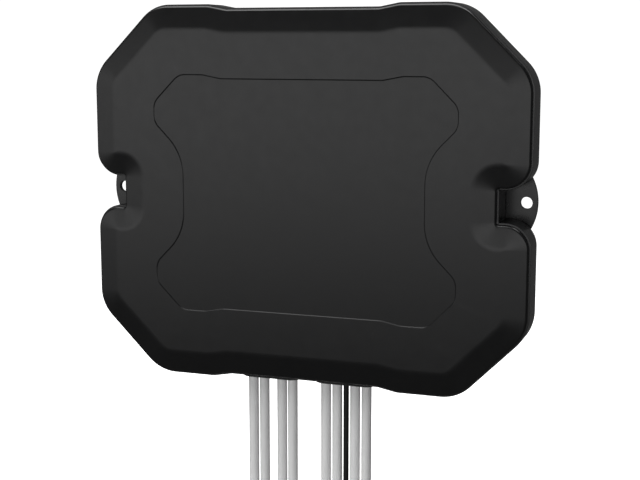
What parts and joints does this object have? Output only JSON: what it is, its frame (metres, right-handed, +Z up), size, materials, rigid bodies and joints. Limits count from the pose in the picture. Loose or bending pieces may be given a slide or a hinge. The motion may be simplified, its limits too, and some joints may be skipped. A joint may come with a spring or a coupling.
{
  "type": "cellular booster antenna",
  "caption": "Slim black wall antenna of a cellular booster: octagonal radome with side notches over two mounting ears, and coax leads from two rubber exits below.",
  "frame": {"origin": "midway between the two ear holes, on the wall plane that the back of the housing rests on", "axes": "+X to the viewer's right, +Z up, +Y into the wall"},
  "size_m": [0.252, 0.0503, 0.5397],
  "materials": {
    "housing_plastic": "fine-grained satin black moulded plastic",
    "seal_rubber": "black rubber",
    "inner_plastic": "dark grey moulded plastic",
    "post_plastic": "natural moulded plastic",
    "steel": "zinc-plated steel",
    "plate_aluminium": "brushed sheet aluminium",
    "element_brass": "stamped brass sheet",
    "circuit_board": "green solder mask",
    "patch_ceramic": "fired ceramic with a silvered face",
    "grey_jacket": "light grey coax jacket",
    "black_jacket": "black coax jacket",
    "tie_fabric": "black hook-and-loop tape",
    "boot_sleeve": "heat-shrink sleeve",
    "plug_brass": "gold-plated brass"
  },
  "bodies": {
    "unit": {"front_cover": "housing_plastic", "rear_housing": "housing_plastic", "gasket": "seal_rubber", "cover_screws": "steel", "vent_plug": "inner_plastic", "ground_plate": "plate_aluminium", "plate_screws": "steel", "element_posts": "post_plastic", "cell_element_1": "element_brass", "cell_element_2": "element_brass", "cell_element_3": "element_brass", "cell_element_4": "element_brass", "wifi_element_1": "circuit_board", "wifi_element_2": "circuit_board", "wifi_element_3": "circuit_board", "wifi_element_4": "circuit_board", "gnss_patch": "patch_ceramic", "gnss_board": "circuit_board", "gnss_shield": "steel", "grommet_left": "seal_rubber", "grommet_right": "seal_rubber", "clamp_left": "inner_plastic", "clamp_right": "inner_plastic", "clamp_screws": "steel", "inner_leads_left": "grey_jacket", "inner_leads_right": "grey_jacket", "lead_1": "grey_jacket", "lead_2": "grey_jacket", "lead_3": "grey_jacket", "lead_4": "grey_jacket", "lead_5": "grey_jacket", "lead_6": "grey_jacket", "lead_7": "black_jacket", "lead_8": "grey_jacket", "lead_9": "grey_jacket", "coil_left": "grey_jacket", "coil_right": "grey_jacket", "tie_left": "tie_fabric", "tie_right": "tie_fabric", "plug_1": "plug_brass", "plug_2": "plug_brass", "plug_3": "plug_brass", "plug_4": "plug_brass", "plug_5": "plug_brass", "plug_6": "plug_brass", "plug_7": "plug_brass", "plug_8": "plug_brass", "plug_9": "plug_brass", "plug_pins": "plug_brass", "plug_boots": "boot_sleeve"},
    "nut_body_1": {"nut_1": "plug_brass"},
    "nut_body_2": {"nut_2": "plug_brass"},
    "nut_body_3": {"nut_3": "plug_brass"},
    "nut_body_4": {"nut_4": "plug_brass"},
    "nut_body_5": {"nut_5": "plug_brass"},
    "nut_body_6": {"nut_6": "plug_brass"},
    "nut_body_7": {"nut_7": "plug_brass"},
    "nut_body_8": {"nut_8": "plug_brass"},
    "nut_body_9": {"nut_9": "plug_brass"}
  },
  "joints": [
    {"name": "nut_spin_1", "type": "hinge", "parent": "unit", "child": "nut_body_1", "pos_m": [-0.036, -0.04502, -0.35671], "axis": [0, 0, -1], "continuous": true},
    {"name": "nut_spin_2", "type": "hinge", "parent": "unit", "child": "nut_body_2", "pos_m": [-0.027, -0.03851, -0.35477], "axis": [0, 0, -1], "continuous": true},
    {"name": "nut_spin_3", "type": "hinge", "parent": "unit", "child": "nut_body_3", "pos_m": [-0.018, -0.03201, -0.42933], "axis": [0, 0, -1], "continuous": true},
    {"name": "nut_spin_4", "type": "hinge", "parent": "unit", "child": "nut_body_4", "pos_m": [-0.009, -0.03225, -0.31431], "axis": [0, 0, -1], "continuous": true},
    {"name": "nut_spin_5", "type": "hinge", "parent": "unit", "child": "nut_body_5", "pos_m": [0.009, -0.03225, -0.31431], "axis": [0, 0, -1], "continuous": true},
    {"name": "nut_spin_6", "type": "hinge", "parent": "unit", "child": "nut_body_6", "pos_m": [0.018, -0.03201, -0.42933], "axis": [0, 0, -1], "continuous": true},
    {"name": "nut_spin_7", "type": "hinge", "parent": "unit", "child": "nut_body_7", "pos_m": [0.045, -0.0463, -0.39076], "axis": [0, 0, -1], "continuous": true},
    {"name": "nut_spin_8", "type": "hinge", "parent": "unit", "child": "nut_body_8", "pos_m": [0.027, -0.03851, -0.35477], "axis": [0, 0, -1], "continuous": true},
    {"name": "nut_spin_9", "type": "hinge", "parent": "unit", "child": "nut_body_9", "pos_m": [0.036, -0.04502, -0.35671], "axis": [0, 0, -1], "continuous": true}
  ]
}
